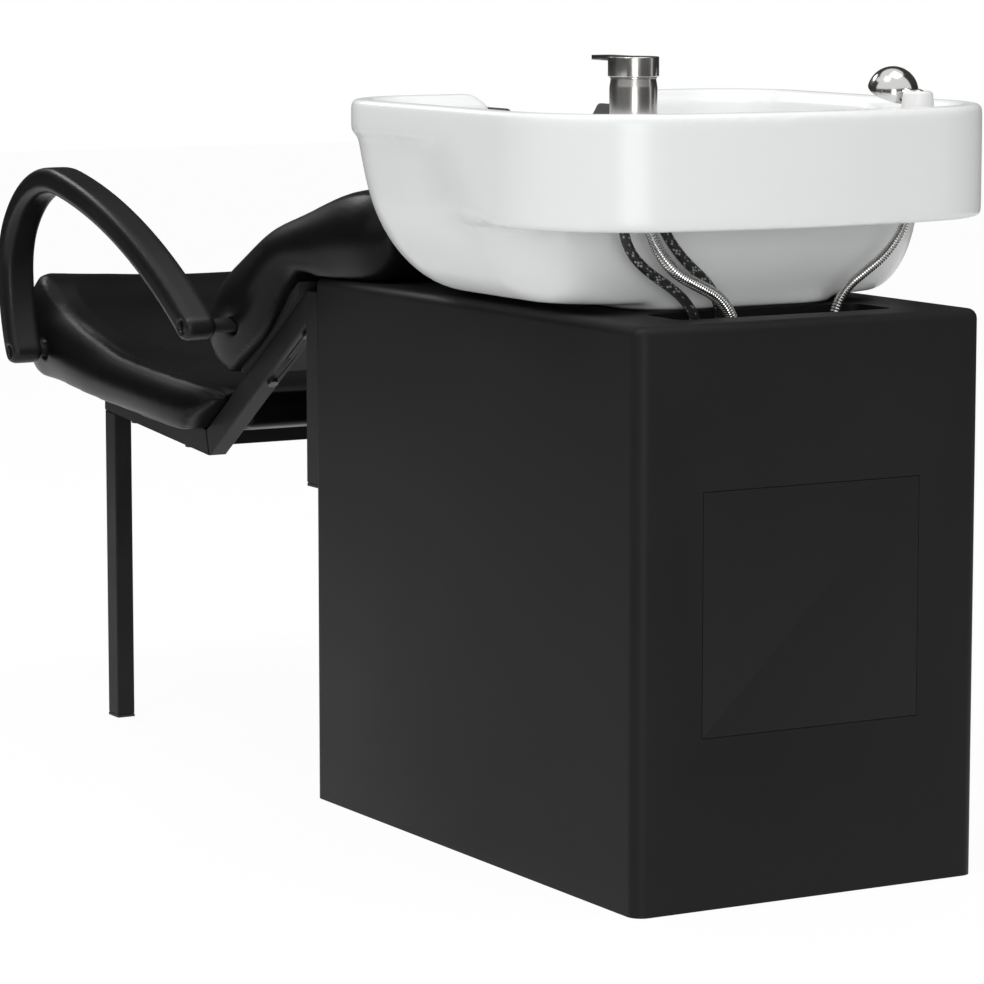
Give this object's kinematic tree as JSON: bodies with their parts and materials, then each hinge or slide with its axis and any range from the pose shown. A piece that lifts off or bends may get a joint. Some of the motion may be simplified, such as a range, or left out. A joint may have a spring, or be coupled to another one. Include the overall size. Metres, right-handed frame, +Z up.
{
  "type": "shampoo chair with basin",
  "caption": "Backwash shampoo unit: a fixed reclining upholstered seat with loop armrests, joined to a plumbing cabinet that carries a ceramic basin with mixer tap and hand shower.",
  "frame": {"origin": "on the floor under the middle of the unit's bounding box", "axes": "+Z up, the sitter faces -Y, the sitter's left hand is at +X"},
  "size_m": [0.59, 1.3702, 0.8211],
  "materials": {
    "cabinet_black": "smooth matte black moulding",
    "ceramic_white": "white glazed ceramic",
    "rubber_black": "soft black rubber",
    "chrome": "polished chrome",
    "steel": "zinc-plated steel",
    "white_plastic": "white plastic",
    "grey_plastic": "grey plastic",
    "braid_black": "black braided sleeve",
    "frame_black": "black powder-coated steel tube",
    "upholstery_black": "black vinyl upholstery",
    "arm_black": "black moulded polyurethane",
    "plywood": "plain plywood",
    "hardwood": "plain hardwood",
    "magnet": "nickel-plated magnet"
  },
  "bodies": {
    "unit": {"cabinet_shell": "cabinet_black", "panel_magnets": "magnet", "basin_board": "plywood", "seat_board": "plywood", "back_board": "plywood", "basin": "ceramic_white", "basin_rim": "ceramic_white", "basin_apron": "ceramic_white", "basin_gasket": "rubber_black", "neck_rest": "rubber_black", "mixer_gasket": "rubber_black", "drain_seal": "rubber_black", "basin_bolts": "steel", "mixer_stud": "steel", "mixer_clamp": "steel", "mixer_nut": "steel", "bar_bolts": "steel", "bar_plates": "steel", "seat_screws": "steel", "back_screws": "steel", "arm_bolts": "steel", "drain_flange": "chrome", "mixer_body": "chrome", "outlet_hose": "chrome", "shower_hose": "chrome", "hot_union": "chrome", "cold_union": "chrome", "hose_coupling": "chrome", "drain_nut": "white_plastic", "trap_body": "white_plastic", "trap_cup": "white_plastic", "waste_pipe": "white_plastic", "shower_holder": "white_plastic", "holder_nut": "white_plastic", "mixer_cartridge": "grey_plastic", "hot_hose": "braid_black", "cold_hose": "braid_black", "leg_left": "frame_black", "leg_right": "frame_black", "seat_rail_left": "frame_black", "seat_rail_right": "frame_black", "back_rail_left": "frame_black", "back_rail_right": "frame_black", "mount_bar_left": "frame_black", "mount_bar_right": "frame_black", "cross_tubes": "frame_black", "arm_spacers": "frame_black", "tube_caps": "rubber_black", "seat_cushion": "upholstery_black", "back_cushion": "upholstery_black", "armrest_left": "arm_black", "armrest_right": "arm_black", "arm_blocks": "hardwood"},
    "panel": {"access_panel": "cabinet_black"},
    "strainer": {"drain_strainer": "chrome"},
    "tap_swivel": {"mixer_spindle": "chrome"},
    "tap_lever": {"mixer_handle": "chrome"},
    "hand_shower": {"shower_body": "chrome", "shower_face": "grey_plastic", "shower_nut": "chrome"}
  },
  "joints": [
    {"name": "tap_turn", "type": "hinge", "parent": "unit", "child": "tap_swivel", "pos_m": [0.157, 0.595, 0.79], "axis": [0, 0, 1], "range_deg": [-45, 45]},
    {"name": "tap_lift", "type": "hinge", "parent": "tap_swivel", "child": "tap_lever", "pos_m": [0.157, 0.6195, 0.8021], "axis": [-1, 0, 0], "range_deg": [0, 20]},
    {"name": "shower_lift", "type": "slide", "parent": "unit", "child": "hand_shower", "axis": [0, 0, 1], "range_m": [0, 0.2], "deforming": ["shower_hose"]},
    {"name": "strainer_lift", "type": "slide", "parent": "unit", "child": "strainer", "axis": [0, 0, 1], "range_m": [0, 0.03]},
    {"name": "panel_pull", "type": "slide", "parent": "unit", "child": "panel", "axis": [0, 1, 0], "range_m": [0, 0.08]}
  ]
}
